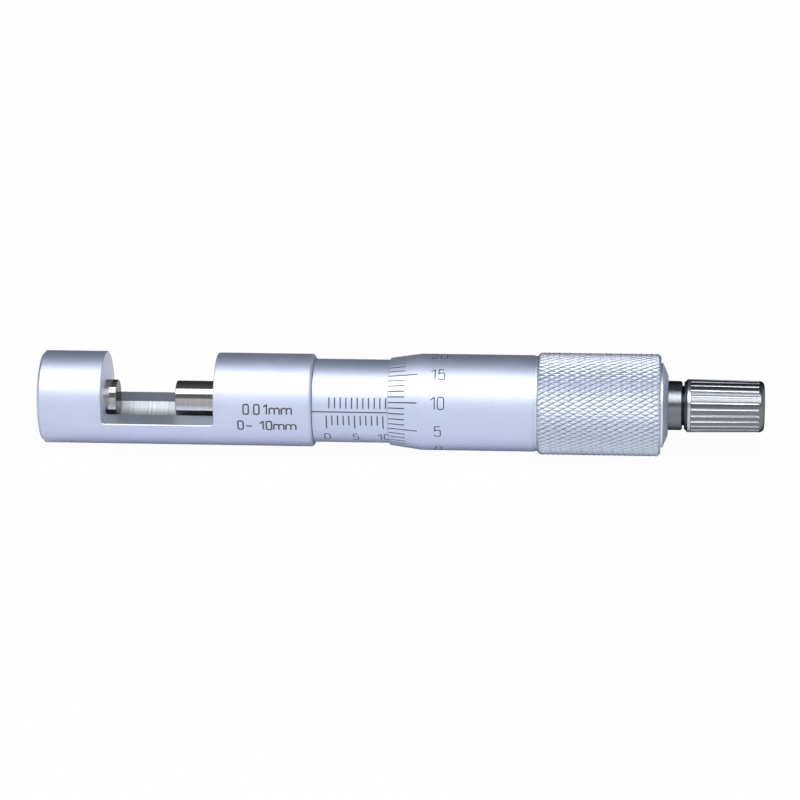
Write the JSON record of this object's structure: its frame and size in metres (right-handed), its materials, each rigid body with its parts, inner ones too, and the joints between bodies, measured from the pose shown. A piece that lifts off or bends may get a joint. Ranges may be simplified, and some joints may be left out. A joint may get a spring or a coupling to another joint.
{
  "type": "wire micrometer",
  "caption": "Tubular micrometer with a notch for wire, fixed anvil, screw spindle, engraved sleeve and thimble scales and a fluted ratchet stop.",
  "frame": {"origin": "centre of the anvil's measuring face", "axes": "+X along the spindle from the anvil towards the ratchet, +Z out of the open side of the notch, -Y towards the index line of the scale"},
  "size_m": [0.1283, 0.018, 0.018],
  "materials": {
    "satin_chrome": "satin",
    "ground_steel": "ground and lapped",
    "bright_steel": "turned",
    "inner_steel": "turned, oiled",
    "spring_steel": "drawn wire"
  },
  "bodies": {
    "frame": {"body": "satin_chrome", "anvil": "ground_steel", "inner_sleeve": "inner_steel", "adjusting_nut": "inner_steel"},
    "scale_sleeve": {"sleeve": "satin_chrome"},
    "travel": {"ratchet_washer": "inner_steel"},
    "thimble_set": {"spindle": "ground_steel", "thimble": "satin_chrome", "ratchet_base": "bright_steel", "ratchet_screw": "bright_steel"},
    "ratchet": {"ratchet_knob": "bright_steel", "ratchet_disc": "inner_steel", "ratchet_spring": "spring_steel"}
  },
  "joints": [
    {"name": "sleeve_zero_turn", "type": "hinge", "parent": "frame", "child": "scale_sleeve", "pos_m": [0.045, 0, 0], "axis": [1, 0, 0], "range_deg": [-15, 15]},
    {"name": "spindle_travel", "type": "slide", "parent": "frame", "child": "travel", "axis": [1, 0, 0], "range_m": [-0.01058, 0.0005]},
    {"name": "thimble_turn", "type": "hinge", "parent": "travel", "child": "thimble_set", "pos_m": [0.07, 0, 0], "axis": [1, 0, 0], "range_deg": [-7617.6, 360]},
    {"name": "ratchet_turn", "type": "hinge", "parent": "thimble_set", "child": "ratchet", "pos_m": [0.107, 0, 0], "axis": [1, 0, 0], "continuous": true}
  ],
  "couplings": [
    {"joint": "thimble_turn", "follows": "spindle_travel", "rad_per_m": 12566}
  ]
}
